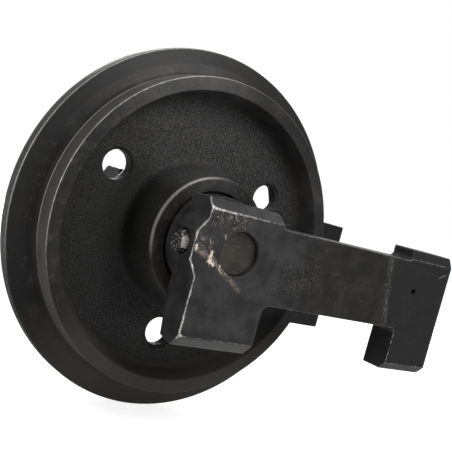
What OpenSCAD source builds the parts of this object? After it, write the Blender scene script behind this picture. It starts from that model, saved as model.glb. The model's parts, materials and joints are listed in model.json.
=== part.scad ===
// Front idler of a small excavator.
// A flanged track wheel turns on two bushes about a fixed shaft, which two support brackets hold.
// The wheel's centre is the origin, its axis is Y, the brackets' arms run along +X and Z is up.
// The near side is the -Y side. Sided pieces are drawn on the +Y side and mirrored for the near side.

/* [Track wheel] */
// Diameter over the centre flange that guides the track links
flange_d = 390; // [380:1:410]
// Width of the flange's outer land
flange_land_w = 15; // [10:1:20]
// Width of the flange where its sloping sides would meet the tread
flange_root_w = 28; // [24:1:36]
// Radius at the foot of a flange side
flange_fillet = 5; // [3:0.2:8]
// Depth of the relief beside the flange, below the tread
root_relief = 1; // [0.5:0.1:1.5]
// Diameter of the two treads that the track links roll on
tread_d = 337; // [332:1:346]
// Width over the two treads
rim_w = 90; // [80:1:100]
// Inner diameter of the rim's flat end face
rim_face_bore_d = 308; // [302:1:314]
// Draft of the rim's inner wall between its end face and the web, on the radius
rim_draft = 7; // [4:0.5:9]
// Thickness of the web
web_t = 16; // [13:1:20]
// Distance of the web's middle from the wheel's middle, towards the near side
web_shift = 5.5; // [0:0.5:7]
// Radius between rim and web
web_fillet = 14; // [6:1:16]
// Diameter of the holes through the web at their throat
web_hole_d = 31; // [26:0.5:36]
// Diameter of the circle that the web holes lie on
web_hole_circle_d = 221.5; // [214:0.5:230]
// Number of web holes
web_hole_count = 3; // [3:1:6]
// Angle of the first web hole above the arm's direction
web_hole_angle = 31.4; // [0:0.1:60]
// Bevel on the rims of the web holes
web_hole_bevel = 3; // [1:0.5:4]

/* [Hub] */
// Diameter of the hub at its end faces
hub_d = 136; // [130:1:142]
// Diameter of the hub where its cone meets the web
hub_root_d = 152; // [146:1:158]
// Length of the hub over its end faces
hub_l = 130; // [124:1:140]
// Radius between hub and web
hub_fillet = 9; // [4:1:12]
// Rounding of the hub's outer edges
hub_round = 2.5; // [1:0.5:4]
// Rounding of the worn edges of flange, tread and rim
edge_round = 1.5; // [0.5:0.1:2]
// Diameter of the recess in the hub face that the bracket's collar enters
mouth_d = 107; // [104:0.5:112]
// Depth of that recess
mouth_depth = 5; // [4:0.5:7]
// Diameter of the oil chamber between the bushes
oil_chamber_d = 72; // [62:1:80]

/* [Shaft and bushes] */
// Diameter of the shaft
shaft_d = 45; // [40:1:48]
// Depth of the shaft's ends below the brackets' outer faces
shaft_recess = 5; // [3:0.5:7]
// Bevel on the shaft's ends
shaft_bevel = 1.5; // [0.5:0.5:3]
// Radial running clearance between shaft and bush
running_clear = 0.05; // [0.02:0.01:0.1]
// Radial clearance between shaft and bracket bore
seat_clear = 0.03; // [0.01:0.01:0.06]
// Wall of the bush
bush_wall = 5; // [4:0.5:6]
// Length of the bush with its flange
bush_l = 36; // [30:1:40]
// Diameter of the bush flange
bush_flange_d = 68; // [64:1:70]
// Thickness of the bush flange
bush_flange_t = 4; // [3:0.5:5]
// Lead-in bevel at the inner end of the bush and at the ends of its bore
bush_bevel = 1; // [0.5:0.1:1.5]
// Number of oil grooves along the bush's bore
oil_groove_count = 3; // [2:1:6]
// Depth of the oil grooves
oil_groove_depth = 1.5; // [1:0.1:2.5]
// Play between the bush flange and the bracket's nose at each end
thrust_clear = 0.4; // [0.3:0.1:0.8]
// Diameter of the oil gallery in the shaft
gallery_d = 7; // [5:0.5:8]

/* [Face seals] */
// Gap between the two ring faces
seal_gap = 0.3; // [0.2:0.1:0.4]
// Depth of each seal chamber behind the ring faces
seal_depth = 13; // [12:0.5:14]
// Bore of the metal seal rings
seal_ring_bore_d = 66; // [65.5:0.5:67]
// Diameter of the ring's lapped face
seal_face_d = 88; // [86:0.5:89]
// Thickness of the ring behind its lapped face
seal_face_t = 3.5; // [3:0.5:4]
// Diameter of the ring's ramp at the back
seal_ramp_d = 75; // [74:0.5:76]
// Diameter of the seal chamber at its floor
seal_chamber_d = 91; // [90:0.5:92]
// Rise of ring ramp and chamber wall towards the face, on the radius
seal_flare = 1.5; // [1:0.1:2]
// Thickness of the rubber ring before it is squeezed
toric_d = 8.8; // [8.6:0.1:9]
// Width of the gap between the bracket's collar and the hub's recess
collar_clear = 3; // [2:0.5:4]
// Gap between the end of the collar and the floor of the hub's recess
collar_end_clear = 2; // [1.5:0.5:3]
// Bevel on the outer edge of the collar's end
collar_bevel = 1.5; // [0.5:0.5:2.5]
// Gap between the metal ring's back and the chamber's floor
seal_back_gap = 1.5; // [1:0.1:2]
// Gap between the metal ring's bore and the bracket's nose
nose_clear = 1.5; // [1:0.1:2]

/* [Support brackets] */
// Width over the brackets' outer faces
over_brackets = 244; // [236:1:260]
// Thickness of the bracket's head
head_t = 40; // [36:1:44]
// Width of head and leg
head_w = 90; // [84:1:96]
// Height of the head's top above the shaft axis
head_top = 48; // [45:0.5:54]
// Drop of the leg's foot below the shaft axis
leg_drop = 99.5; // [90:0.5:110]
// Lean of the head's rear side above the arm
head_lean = 4; // [2:0.5:6]
// Guide bevel along the head's outer top edge
head_bevel = 9.5; // [6:0.5:11]
// Guide bevel along the foot's outer edge
foot_bevel = 11.5; // [8:0.5:13]
// Drop below the axis where the leg's inner side starts to taper
leg_taper_start = 56; // [54:1:64]
// Thickness that the leg loses towards its foot
leg_taper = 7.5; // [4:0.5:9]
// Rise of the foot's sole towards its inner edge
sole_rise = 4; // [2:0.5:5]
// Height of the arm's top above the shaft axis
arm_top = 34; // [30:0.5:36]
// Depth of the arm's underside below the shaft axis
arm_bottom = 45; // [42:0.5:50]
// Thickness of the arm
arm_t = 34; // [28:1:35]
// Radius where the arm joins the leg
leg_fillet = 8; // [4:1:10]
// Radius where the arm joins the end block
block_fillet = 7; // [4:1:9]
// Distance from the shaft axis to the end block's rear face
reach = 303; // [290:1:320]
// Length of the end block
block_l = 65; // [55:1:72]
// Height of the end block's top above the shaft axis
block_top = 46.5; // [44:0.5:52]
// Drop of the end block's underside below the shaft axis
block_bottom = 94.5; // [88:0.5:102]
// Thickness of the end block
block_t = 46; // [40:1:50]
// Bevel of the end block's inner front edge
block_bevel = 12; // [9:0.5:14]
// Height of the bevel along the end block's outer top edge
block_top_bevel_h = 10.5; // [6:0.5:11]
// Depth of the bevel along the end block's outer top edge
block_top_bevel_t = 6; // [4:0.5:8]
// Bevel along the end block's outer lower edge
block_low_bevel = 8.5; // [5:0.5:10]
// Rounding of the bracket's outline
outline_round = 2; // [1:0.5:3]
// Tapping diameter of the hole in the end block's outer face
tapped_d = 6.8; // [5:0.1:9]
// Depth of that hole
tapped_depth = 20; // [12:1:30]
// Distance of that hole from the end block's rear face
tapped_from_rear = 52; // [44:1:54]

/* [Shaft lock] */
// Distance of the lock bolt's boss face from the shaft axis
boss_reach = 55; // [52:0.5:60]
// Height of the boss face
boss_face_h = 28; // [26:1:32]
// Height of the boss where it meets the bracket's side
boss_root_h = 58; // [50:1:62]
// Diameter of the lock bolt
bolt_d = 12; // [10:1:14]
// Width across the flats of the bolt head
bolt_flats = 19; // [17:1:21]
// Height of the bolt head
bolt_head_h = 8; // [6:0.5:10]
// Bevel of the bolt head's crown, measured in from the flats
bolt_crown = 0.7; // [0.4:0.1:1.2]
// Length of the bolt inside the shaft
bolt_engage = 11; // [8:0.5:12]
// Radial clearance round the bolt in the bracket
bolt_clear = 0.6; // [0.3:0.1:1]
// Radial clearance round the bolt in the shaft
thread_clear = 0.05; // [0.02:0.01:0.1]
// Thickness of the spring washer
washer_t = 3; // [2:0.5:4]
// Diameter of the spring washer
washer_d = 20.5; // [19:0.5:22]
// Slit of the spring washer
washer_slit = 2; // [1:0.5:3]
// Diameter of the spot face
spot_face_d = 26; // [25:0.5:27]
// Depth of the spot face
spot_face_depth = 3.5; // [2:0.5:5]

/* [Shaft sealing] */
// Thickness of the O-ring between shaft and bracket
o_ring_t = 2.6; // [2:0.1:3]
// Width of the O-ring's groove
o_ring_groove_w = 4; // [3.5:0.1:5]
// Distance of the O-ring from the head's inner face
o_ring_inset = 6; // [4:0.5:7]
// Diameter of the oil plug's thread
plug_d = 14; // [12:0.5:15]
// Length of the oil plug's thread
plug_l = 11; // [8:0.5:12]
// Diameter of the oil plug's head
plug_head_d = 20; // [18:0.5:22]
// Height of the oil plug's head
plug_head_h = 5; // [4:0.5:6]
// Width across the flats of the socket in the oil plug
plug_socket = 8; // [6:1:9]
// Depth of that socket
plug_socket_depth = 6; // [4:0.5:7]
// Thickness of the plug's sealing washer
plug_washer_t = 1.5; // [1:0.5:2]
// Depth of the plug's seat in the shaft's end
plug_seat_depth = 3; // [2:0.5:4]

/* [Hidden] */
$fn = 96;
arc_steps = 8;
cut = 1;

flange_r = flange_d / 2;
tread_r = tread_d / 2;
root_r = tread_r - root_relief;
root_end_y = flange_root_w / 2 + flange_fillet;
rim_y = rim_w / 2;
rim_face_r = rim_face_bore_d / 2;
near_web_y = web_t / 2 + web_shift;
far_web_y = web_t / 2 - web_shift;
hub_y = hub_l / 2;
hub_r = hub_d / 2;
mouth_r = mouth_d / 2;
mouth_floor_y = hub_y - mouth_depth;

shaft_r = shaft_d / 2;
shaft_end_y = over_brackets / 2 - shaft_recess;
bush_bore_r = shaft_r + running_clear;
bush_r = bush_bore_r + bush_wall;
bush_flange_r = bush_flange_d / 2;
bush_set = 2;
flange_room = 0.5;

collar_end_y = mouth_floor_y + collar_end_clear;
collar_r = mouth_r - collar_clear;
seal_y = (mouth_floor_y + collar_end_y) / 2;
seal_floor_y = seal_y - seal_depth;
seal_ring_back_y = seal_floor_y + seal_back_gap;
seal_ring_face_y = seal_y - seal_gap / 2;
seal_lip_y = seal_ring_face_y - seal_face_t;
ramp_r = seal_ramp_d / 2;
chamber_r = seal_chamber_d / 2;
toric_y = (seal_floor_y + seal_lip_y) / 2;
bracket_floor_y = 2 * seal_y - seal_floor_y;

bush_face_y = seal_floor_y - bush_set;
bush_seat_y = bush_face_y - bush_flange_t;
bush_end_y = bush_face_y - bush_l;

face_y = over_brackets / 2;
head_y = face_y - head_t;
arm_y = face_y - arm_t;
block_y = face_y - block_t;
block_x = reach - block_l;
nose_end_y = bush_face_y + thrust_clear;
nose_r = seal_ring_bore_d / 2 - nose_clear;
bore_r = shaft_r + seat_clear;
tapped_x = reach - tapped_from_rear;

lock_y = face_y - head_t / 2;
spot_x = boss_reach - spot_face_depth;
bolt_seat_x = spot_x + washer_t;
bolt_r = bolt_d / 2;
bolt_tip_x = shaft_r - bolt_engage;
crown_r = bolt_flats / 2 - bolt_crown;
crown_angle = 30;

o_ring_y = head_y + o_ring_inset;
o_ring_r = shaft_r - o_ring_t / 2;
plug_seat_y = shaft_end_y - plug_seat_depth;
plug_r = plug_d / 2;
plug_head_r = plug_head_d / 2;

iron = "#2e2d2e";
bracket_iron = "#353435";
steel = "#8b8783";
bronze = "#a5814e";
nitrile = "#1b1b1c";

// Points of a corner at b, between a and c, rounded to radius r
function unit(v) = v / norm(v);
function corner(a, b, c, r) =
    let (
        u = unit(a - b),
        w = unit(c - b),
        half = acos(u * w) / 2,
        centre = b + unit(u + w) * r / sin(half),
        from = b + u * r / tan(half) - centre,
        to = b + w * r / tan(half) - centre,
        start = atan2(from.y, from.x),
        turn = atan2(from.x * to.y - from.y * to.x, from * to)
    )
    [for (i = [0:arc_steps]) let (t = start + turn * i / arc_steps) centre + r * [cos(t), sin(t)]];

// Outline through points [x, y, radius], with each corner rounded to its radius
function flat(p) = [p.x, p.y];
function rounded(points) =
    let (n = len(points))
    [for (i = [0:n - 1])
        let (p = points[i], before = points[(i + n - 1) % n], after = points[(i + 1) % n])
        each (p[2] > 0 ? corner(flat(before), flat(p), flat(after), p[2]) : [flat(p)])];

// A half profile [radius, y, rounding] mirrored across y = 0, and one completed by its mirror image
function mirrored(half) = [for (i = [len(half) - 1:-1:0]) [half[i].x, -half[i].y, half[i][2]]];
function both_halves(half) = concat(half, mirrored(half));

// Turns a profile of [radius, y] about the wheel's axis
module about_axle() rotate([-90, 0, 0]) rotate_extrude() children();

// Extrudes an outline of [x, z] from y0 to y1
module slab_y(y0, y1) translate([0, y1, 0]) rotate([90, 0, 0]) linear_extrude(y1 - y0) children();

// Extrudes an outline of [y, z] from x0 to x1
module bar_x(x0, x1) translate([x0, 0, 0]) rotate([90, 0, 90]) linear_extrude(x1 - x0) children();

// A round bar along the axle from y0 to y1
module rod_y(r, y0, y1) translate([0, y0, 0]) rotate([-90, 0, 0]) cylinder(r = r, h = y1 - y0);

// Places a piece that stands along Z on the lock bolt's axis, at x, facing away from the shaft
module on_lock_axis(x) translate([-x, lock_y, 0]) rotate([0, -90, 0]) children();

// The near side's copy of a piece drawn on the far side
module near_side() mirror([0, 1, 0]) children();

// The bracket's copy of a seal piece drawn on the hub's side
module across_seal() translate([0, 2 * seal_y, 0]) mirror([0, 1, 0]) children();

// Half profile of the wheel, with the web's face on that side at y = web_y
function wheel_half(web_y) = [
    [flange_r, flange_land_w / 2, edge_round],
    [root_r, flange_root_w / 2, flange_fillet],
    [root_r, root_end_y, 0],
    [tread_r, root_end_y + root_relief, root_relief / 2],
    [tread_r, rim_y, edge_round],
    [rim_face_r, rim_y, edge_round],
    [rim_face_r - rim_draft, web_y, web_fillet],
    [hub_root_d / 2, web_y, hub_fillet],
    [hub_r, hub_y, hub_round],
    [mouth_r, hub_y, edge_round / 2],
    [mouth_r, mouth_floor_y, 0],
    [chamber_r + seal_flare, mouth_floor_y, 0],
    [chamber_r, seal_floor_y, 0],
    [bush_flange_r + flange_room, seal_floor_y, 0],
    [bush_flange_r + flange_room, bush_seat_y, 0],
    [bush_r, bush_seat_y, 0],
    [bush_r, bush_end_y, 0],
    [oil_chamber_d / 2, bush_end_y, 0]
];

module web_hole() {
    through = web_t + 2 * cut;
    half_bevel = web_hole_bevel + cut;
    rotate([90, 0, 0]) {
        cylinder(d = web_hole_d, h = through, center = true);
        for (side = [-1, 1])
            rotate([side < 0 ? 180 : 0, 0, 0])
                translate([0, 0, web_t / 2 - web_hole_bevel])
                    cylinder(r1 = web_hole_d / 2, r2 = web_hole_d / 2 + half_bevel, h = half_bevel);
    }
}

module idler_wheel() color(iron) difference() {
    about_axle() polygon(rounded(concat(wheel_half(far_web_y), mirrored(wheel_half(near_web_y)))));
    for (i = [0:web_hole_count - 1]) {
        angle = web_hole_angle + i * 360 / web_hole_count;
        translate(web_hole_circle_d / 2 * [cos(angle), 0, sin(angle)] - [0, web_shift, 0]) web_hole();
    }
}

module bush() color(bronze) difference() {
    about_axle() polygon([
        [bush_bore_r + bush_bevel, bush_end_y],
        [bush_r - bush_bevel, bush_end_y],
        [bush_r, bush_end_y + bush_bevel],
        [bush_r, bush_seat_y],
        [bush_flange_r, bush_seat_y],
        [bush_flange_r, bush_face_y],
        [bush_bore_r + bush_bevel, bush_face_y],
        [bush_bore_r, bush_face_y - bush_bevel],
        [bush_bore_r, bush_end_y + bush_bevel]
    ]);
    for (i = [0:oil_groove_count - 1])
        rotate([0, i * 360 / oil_groove_count, 0]) translate([bush_bore_r, 0, 0])
            rod_y(oil_groove_depth, bush_end_y - cut, bush_face_y + cut);
}

// Radius of the seal ring's ramp and of the chamber's wall at a given y
function flare_at(r, y) = r + seal_flare * (y - seal_floor_y) / (mouth_floor_y - seal_floor_y);

module seal_ring() color(steel) about_axle() polygon([
    [seal_ring_bore_d / 2, seal_ring_back_y],
    [flare_at(ramp_r, seal_ring_back_y), seal_ring_back_y],
    [flare_at(ramp_r, seal_lip_y), seal_lip_y],
    [seal_face_d / 2, seal_lip_y],
    [seal_face_d / 2, seal_ring_face_y],
    [seal_ring_bore_d / 2, seal_ring_face_y]
]);

// The rubber ring, squeezed between the ring's ramp and the chamber's wall
module toric() color(nitrile) about_axle() intersection() {
    translate([(flare_at(ramp_r, toric_y) + flare_at(chamber_r, toric_y)) / 2, toric_y]) circle(d = toric_d);
    polygon([
        [flare_at(ramp_r, seal_floor_y), seal_floor_y],
        [flare_at(chamber_r, seal_floor_y), seal_floor_y],
        [flare_at(chamber_r, seal_lip_y), seal_lip_y],
        [flare_at(ramp_r, seal_lip_y), seal_lip_y]
    ]);
}

// Seal chamber in the bracket's collar, the mirror image of the hub's
module collar_chamber() across_seal() about_axle() polygon([
    [0, seal_floor_y],
    [chamber_r, seal_floor_y],
    [chamber_r + seal_flare, mouth_floor_y],
    [chamber_r + seal_flare, mouth_floor_y + cut],
    [0, mouth_floor_y + cut]
]);

module axle_shaft() color(steel) difference() {
    about_axle() polygon(rounded(both_halves([
        [0, shaft_end_y, 0],
        [shaft_r - shaft_bevel, shaft_end_y, 0],
        [shaft_r, shaft_end_y - shaft_bevel, 0],
        [shaft_r, o_ring_y + o_ring_groove_w / 2, 0],
        [shaft_r - o_ring_t, o_ring_y + o_ring_groove_w / 2, 0],
        [shaft_r - o_ring_t, o_ring_y - o_ring_groove_w / 2, 0],
        [shaft_r, o_ring_y - o_ring_groove_w / 2, 0]
    ])));
    for (side = [0, 1])
        mirror([0, side, 0]) on_lock_axis(bolt_tip_x) cylinder(r = bolt_r + thread_clear, h = shaft_r);
    rod_y(plug_head_r + flange_room, plug_seat_y, shaft_end_y + cut);
    rod_y(plug_r + thread_clear, plug_seat_y - plug_l - cut, shaft_end_y);
    rod_y(gallery_d / 2, -gallery_d, plug_seat_y);
    cylinder(d = gallery_d, h = shaft_d + 2 * cut, center = true);
}

// Front side of head, boss and leg, from the head's top down to the foot
head_front = [
    [-head_w / 2, head_top, outline_round],
    [-head_w / 2, boss_root_h / 2, outline_round],
    [-boss_reach, boss_face_h / 2, 2 * outline_round],
    [-boss_reach, -boss_face_h / 2, 2 * outline_round],
    [-head_w / 2, -boss_root_h / 2, outline_round],
    [-head_w / 2, -leg_drop, outline_round],
    [head_w / 2, -leg_drop, outline_round]
];
head_rear_top = [head_w / 2 - head_lean, head_top, outline_round];
head_outline = concat(head_front, [[head_w / 2, arm_top + (head_top - arm_top) / 3, 0], head_rear_top]);
bracket_outline = concat(head_front, [
    [head_w / 2, -arm_bottom, leg_fillet],
    [block_x, -arm_bottom, block_fillet],
    [block_x, -block_bottom, outline_round],
    [reach, -block_bottom, outline_round],
    [reach, block_top, outline_round],
    [block_x, block_top, outline_round],
    [block_x, arm_top, block_fillet],
    [head_w / 2 + head_lean / 2, arm_top, outline_round],
    head_rear_top
]);

block_outline = [
    [block_x, -block_bottom, outline_round],
    [reach, -block_bottom, outline_round],
    [reach, block_top, outline_round],
    [block_x, block_top, outline_round]
];
block_plan = [
    [block_x, arm_y + cut],
    [block_x, arm_y],
    [block_x + block_bevel, block_y],
    [reach, block_y],
    [reach, arm_y + cut]
];

// The part of the end block that stands in from the arm's inner side, with its front edge bevelled
module inner_block() intersection() {
    slab_y(block_y, arm_y + cut) polygon(rounded(block_outline));
    translate([0, 0, -block_bottom - cut]) linear_extrude(block_bottom + block_top + 2 * cut) polygon(block_plan);
}

module collar() about_axle() polygon([
    [0, collar_end_y],
    [collar_r - collar_bevel, collar_end_y],
    [collar_r, collar_end_y + collar_bevel],
    [collar_r, head_y + cut],
    [0, head_y + cut]
]);

// Cuts a bevel of depth t and height h off an outer edge at height z, where up is 1 on a top edge
module edge_bevel(x0, x1, z, t, h, up) bar_x(x0, x1) polygon([
    [face_y - t, z + up * cut],
    [face_y - t, z],
    [face_y, z - up * h],
    [face_y + cut, z - up * h],
    [face_y + cut, z + up * cut]
]);

module bracket_body() difference() {
    union() {
        slab_y(arm_y, face_y) polygon(rounded(bracket_outline));
        slab_y(head_y, arm_y + cut) polygon(rounded(head_outline));
        inner_block();
        collar();
    }
    edge_bevel(-boss_reach, head_w / 2 + head_lean, head_top, head_bevel, head_bevel, 1);
    edge_bevel(-boss_reach, head_w / 2 + cut, -leg_drop, foot_bevel, foot_bevel, -1);
    edge_bevel(block_x - cut, reach + cut, block_top, block_top_bevel_t, block_top_bevel_h, 1);
    edge_bevel(block_x - cut, reach + cut, -block_bottom, block_low_bevel, block_low_bevel, -1);
    bar_x(-head_w / 2 - cut, head_w / 2 + cut) polygon([
        [head_y - cut, -leg_taper_start],
        [head_y, -leg_taper_start],
        [head_y + leg_taper, -leg_drop + sole_rise],
        [face_y - foot_bevel, -leg_drop],
        [face_y - foot_bevel, -leg_drop - cut],
        [head_y - cut, -leg_drop - cut]
    ]);
    collar_chamber();
}

module bracket() color(bracket_iron) difference() {
    union() {
        bracket_body();
        rod_y(nose_r, nose_end_y, bracket_floor_y + cut);
    }
    rod_y(bore_r, nose_end_y - cut, face_y + cut);
    on_lock_axis(0) cylinder(r = bolt_r + bolt_clear, h = boss_reach);
    on_lock_axis(spot_x) cylinder(d = spot_face_d, h = spot_face_depth + cut);
    translate([tapped_x, 0, 0]) rod_y(tapped_d / 2, face_y - tapped_depth, face_y + cut);
}

module lock_bolt() color(steel) on_lock_axis(bolt_seat_x) {
    intersection() {
        cylinder(r = bolt_flats / sqrt(3), h = bolt_head_h, $fn = 6);
        cylinder(r1 = crown_r + bolt_head_h / tan(crown_angle), r2 = crown_r, h = bolt_head_h);
    }
    translate([0, 0, bolt_tip_x - bolt_seat_x]) cylinder(r = bolt_r, h = bolt_seat_x - bolt_tip_x);
}

module lock_washer() color(steel) on_lock_axis(spot_x) difference() {
    cylinder(d = washer_d, h = washer_t);
    translate([0, 0, -cut]) cylinder(r = bolt_r + bolt_clear / 2, h = washer_t + 2 * cut);
    translate([0, -washer_slit / 2, -cut]) cube([washer_d, washer_slit, washer_t + 2 * cut]);
}

module shaft_o_ring() color(nitrile) about_axle() translate([o_ring_r, o_ring_y]) circle(d = o_ring_t);

module oil_plug() color(steel) translate([0, plug_seat_y + plug_washer_t, 0]) rotate([-90, 0, 0])
    difference() {
        union() {
            cylinder(r = plug_head_r, h = plug_head_h);
            translate([0, 0, -plug_l]) cylinder(r = plug_r, h = plug_l);
        }
        translate([0, 0, plug_head_h - plug_socket_depth])
            cylinder(r = plug_socket / sqrt(3), h = plug_socket_depth + cut, $fn = 6);
    }

module plug_washer() color(bronze) translate([0, plug_seat_y, 0]) rotate([-90, 0, 0]) difference() {
    cylinder(r = plug_head_r, h = plug_washer_t);
    translate([0, 0, -cut]) cylinder(r = plug_r + thread_clear, h = plug_washer_t + 2 * cut);
}

idler_wheel();
near_side() bush();  // near_bush
bush();  // far_bush
near_side() seal_ring();  // near_hub_seal_ring
seal_ring();  // far_hub_seal_ring
near_side() toric();  // near_hub_toric
toric();  // far_hub_toric
axle_shaft();
near_side() bracket();  // near_bracket
bracket();  // far_bracket
near_side() across_seal() seal_ring();  // near_bracket_seal_ring
across_seal() seal_ring();  // far_bracket_seal_ring
near_side() across_seal() toric();  // near_bracket_toric
across_seal() toric();  // far_bracket_toric
near_side() shaft_o_ring();  // near_shaft_o_ring
shaft_o_ring();  // far_shaft_o_ring
near_side() lock_bolt();  // near_lock_bolt
lock_bolt();  // far_lock_bolt
near_side() lock_washer();  // near_lock_washer
lock_washer();  // far_lock_washer
oil_plug();
plug_washer();
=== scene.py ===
import json
import math

import bmesh
import bpy
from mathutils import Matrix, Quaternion, Vector, kdtree


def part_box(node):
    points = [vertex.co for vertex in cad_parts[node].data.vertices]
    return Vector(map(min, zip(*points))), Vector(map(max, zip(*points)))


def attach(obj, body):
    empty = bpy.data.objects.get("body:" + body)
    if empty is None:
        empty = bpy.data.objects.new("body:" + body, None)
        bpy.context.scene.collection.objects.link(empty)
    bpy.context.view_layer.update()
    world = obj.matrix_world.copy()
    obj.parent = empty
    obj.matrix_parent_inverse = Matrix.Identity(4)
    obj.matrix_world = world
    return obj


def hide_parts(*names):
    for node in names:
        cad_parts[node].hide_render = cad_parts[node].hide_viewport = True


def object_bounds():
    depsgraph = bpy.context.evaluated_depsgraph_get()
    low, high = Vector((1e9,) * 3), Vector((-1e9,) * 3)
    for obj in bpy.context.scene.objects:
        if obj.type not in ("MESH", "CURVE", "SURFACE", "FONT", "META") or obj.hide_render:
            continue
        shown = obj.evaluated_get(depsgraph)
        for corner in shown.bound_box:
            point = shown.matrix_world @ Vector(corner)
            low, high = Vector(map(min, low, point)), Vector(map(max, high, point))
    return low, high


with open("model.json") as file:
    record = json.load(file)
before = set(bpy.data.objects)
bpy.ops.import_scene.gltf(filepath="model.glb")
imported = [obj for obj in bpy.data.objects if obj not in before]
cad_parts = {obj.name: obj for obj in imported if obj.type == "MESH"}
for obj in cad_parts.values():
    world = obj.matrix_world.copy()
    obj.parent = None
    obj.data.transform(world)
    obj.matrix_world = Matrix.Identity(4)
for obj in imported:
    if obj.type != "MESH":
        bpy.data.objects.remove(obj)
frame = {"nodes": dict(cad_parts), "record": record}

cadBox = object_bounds()
mm = 0.001
smoothAngle = 35                                # degrees; sharper edges are shaded as edges
scene = bpy.context.scene
scene.view_settings.view_transform = "Standard"
print("frame loaded,", len(frame["nodes"]), "nodes")


# Node trees

class Wire:                                     # a node's output that takes part in sums
    def __init__(self, desk, socket):
        self.desk = desk
        self.socket = socket

    def at(self, key):                          # another output of the same node
        return Wire(self.desk, self.socket.node.outputs[key])

    def reckon(self, operation, first, second=0.0):
        return self.desk.node("ShaderNodeMath", {"operation": operation}, {0: first, 1: second})

    def __add__(self, other):
        return self.reckon("ADD", self, other)

    def __radd__(self, other):
        return self.reckon("ADD", other, self)

    def __sub__(self, other):
        return self.reckon("SUBTRACT", self, other)

    def __rsub__(self, other):
        return self.reckon("SUBTRACT", other, self)

    def __mul__(self, other):
        return self.reckon("MULTIPLY", self, other)

    def __truediv__(self, other):
        return self.reckon("DIVIDE", self, other)

    def __rtruediv__(self, other):
        return self.reckon("DIVIDE", other, self)

    def __pow__(self, other):
        return self.reckon("POWER", self, other)

    def __mod__(self, other):
        return self.reckon("MODULO", self, other)

    def __abs__(self):
        return self.reckon("ABSOLUTE", self)

    def most(self, other):
        return self.reckon("MAXIMUM", self, other)

    def least(self, other):
        return self.reckon("MINIMUM", self, other)


class Desk:                                     # a node tree and the one way to add to it
    def __init__(self, tree):
        self.tree = tree

    def node(self, kind, settings=None, sockets=None, out=0):
        made = self.tree.nodes.new(kind)
        for name, value in (settings or {}).items():
            setattr(made, name, value)
        for key, value in (sockets or {}).items():
            if isinstance(value, Wire):
                self.tree.links.new(value.socket, made.inputs[key])
            else:
                made.inputs[key].default_value = value
        return Wire(self, made.outputs[out]) if made.outputs else made

    def ease(self, value, low, high, start=0.0, end=1.0):        # a smooth step from start to end
        return self.node("ShaderNodeMapRange", {"interpolation_type": "SMOOTHSTEP"},
                         {"Value": value, "From Min": low, "From Max": high, "To Min": start, "To Max": end})

    def blend(self, share, first, second):                       # two colours
        return self.node("ShaderNodeMix", {"data_type": "RGBA"}, {0: share, 6: first, 7: second}, out=2)

    def layered(self, colour, coats):                            # coats of (share, colour) over a colour
        for share, coat in coats:
            colour = self.blend(share, colour, coat)
        return colour

    def cloud(self, spot, size, detail=3.0, rough=0.55):         # noise whose lumps are about size across
        return self.node("ShaderNodeTexNoise", None,
                         {"Vector": spot, "Scale": 1 / size, "Detail": detail, "Roughness": rough})

    def marks(self, along, size, detail=2.0):                    # noise in one direction, as a lathe leaves
        return self.node("ShaderNodeTexNoise", {"noise_dimensions": "1D"},
                         {"W": along, "Scale": 1 / size, "Detail": detail})

    def stretch(self, spot, factors=(1, 1, 1), turn=(0, 0, 0), shift=(0, 0, 0)):
        return self.node("ShaderNodeMapping", None,
                         {"Vector": spot, "Scale": factors, "Rotation": turn, "Location": shift})


class Finish(Desk):                             # a material
    def __init__(self, name):
        self.material = bpy.data.materials.new(name)
        self.material.use_nodes = True
        super().__init__(self.material.node_tree)
        self.tree.nodes.clear()
        self.spot = self.node("ShaderNodeTexCoord", out="Object")
        self.x = self.node("ShaderNodeSeparateXYZ", None, {0: self.spot})
        self.y = self.x.at("Y")
        self.z = self.x.at("Z")

    def radius(self):                           # distance from the axle
        return (self.x * self.x + self.z * self.z) ** 0.5

    def bump(self, height, depth):
        return self.node("ShaderNodeBump", None, {"Height": height, "Distance": depth, "Strength": 1.0})

    def close(self, **sockets):                 # the shader and the output
        surface = self.node("ShaderNodeBsdfPrincipled", None,
                            {key.replace("_", " "): value for key, value in sockets.items()})
        self.node("ShaderNodeOutputMaterial", None, {"Surface": surface})
        return self.material


# Camera, solved from the circles and edges of the wheel and bracket

cameraView = dict(place=(-0.4955, -0.7930, 0.0655), azimuth=-35.04, elevation=2.87, roll=15.23, lens=68.45)


def setCamera(look):
    data = bpy.data.cameras.new("camera")
    data.lens = look["lens"]
    camera = bpy.data.objects.new("camera", data)
    turn = math.radians(look["azimuth"])
    rise = math.radians(look["elevation"])
    back = Vector((math.sin(turn) * math.cos(rise), -math.cos(turn) * math.cos(rise), math.sin(rise)))
    level = (-back).to_track_quat("-Z", "Y")
    camera.location = look["place"]
    camera.rotation_mode = "QUATERNION"
    camera.rotation_quaternion = level @ Quaternion((0, 0, 1), math.radians(look["roll"]))
    scene.collection.objects.link(camera)
    scene.camera = camera


setCamera(cameraView)
print("camera set")


# Stage: white floor and surroundings, soft lamps

stage = dict(
    floorSize=8.0, floorGap=0.4 * mm, floorColour=(0.6, 0.6, 0.6, 1),
    floorGlow=0.82, glowRise=(0.5, 1.7),        # below white near the object, white further away
    skyDim=0.11,
    lamps=[
        dict(name="key", place=(0.03, -0.345, 0.37), size=0.23, power=1.95),
        dict(name="table", place=(-0.02, -0.58, -0.17), size=0.3, power=0.98),
        dict(name="left", place=(-2.0, -0.15, 0.5), size=0.6, power=11),
        dict(name="right", place=(2.0, 0.7, 0.6), size=0.6, power=14),
        dict(name="back", place=(0.7, 2.0, 0.5), size=0.9, power=34),
    ],
)


def seenWhite(desk):                            # one for rays that show the background
    path = desk.node("ShaderNodeLightPath", out="Is Camera Ray")
    return path.most(path.at("Is Glossy Ray")).most(path.at("Is Transmission Ray"))


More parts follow.
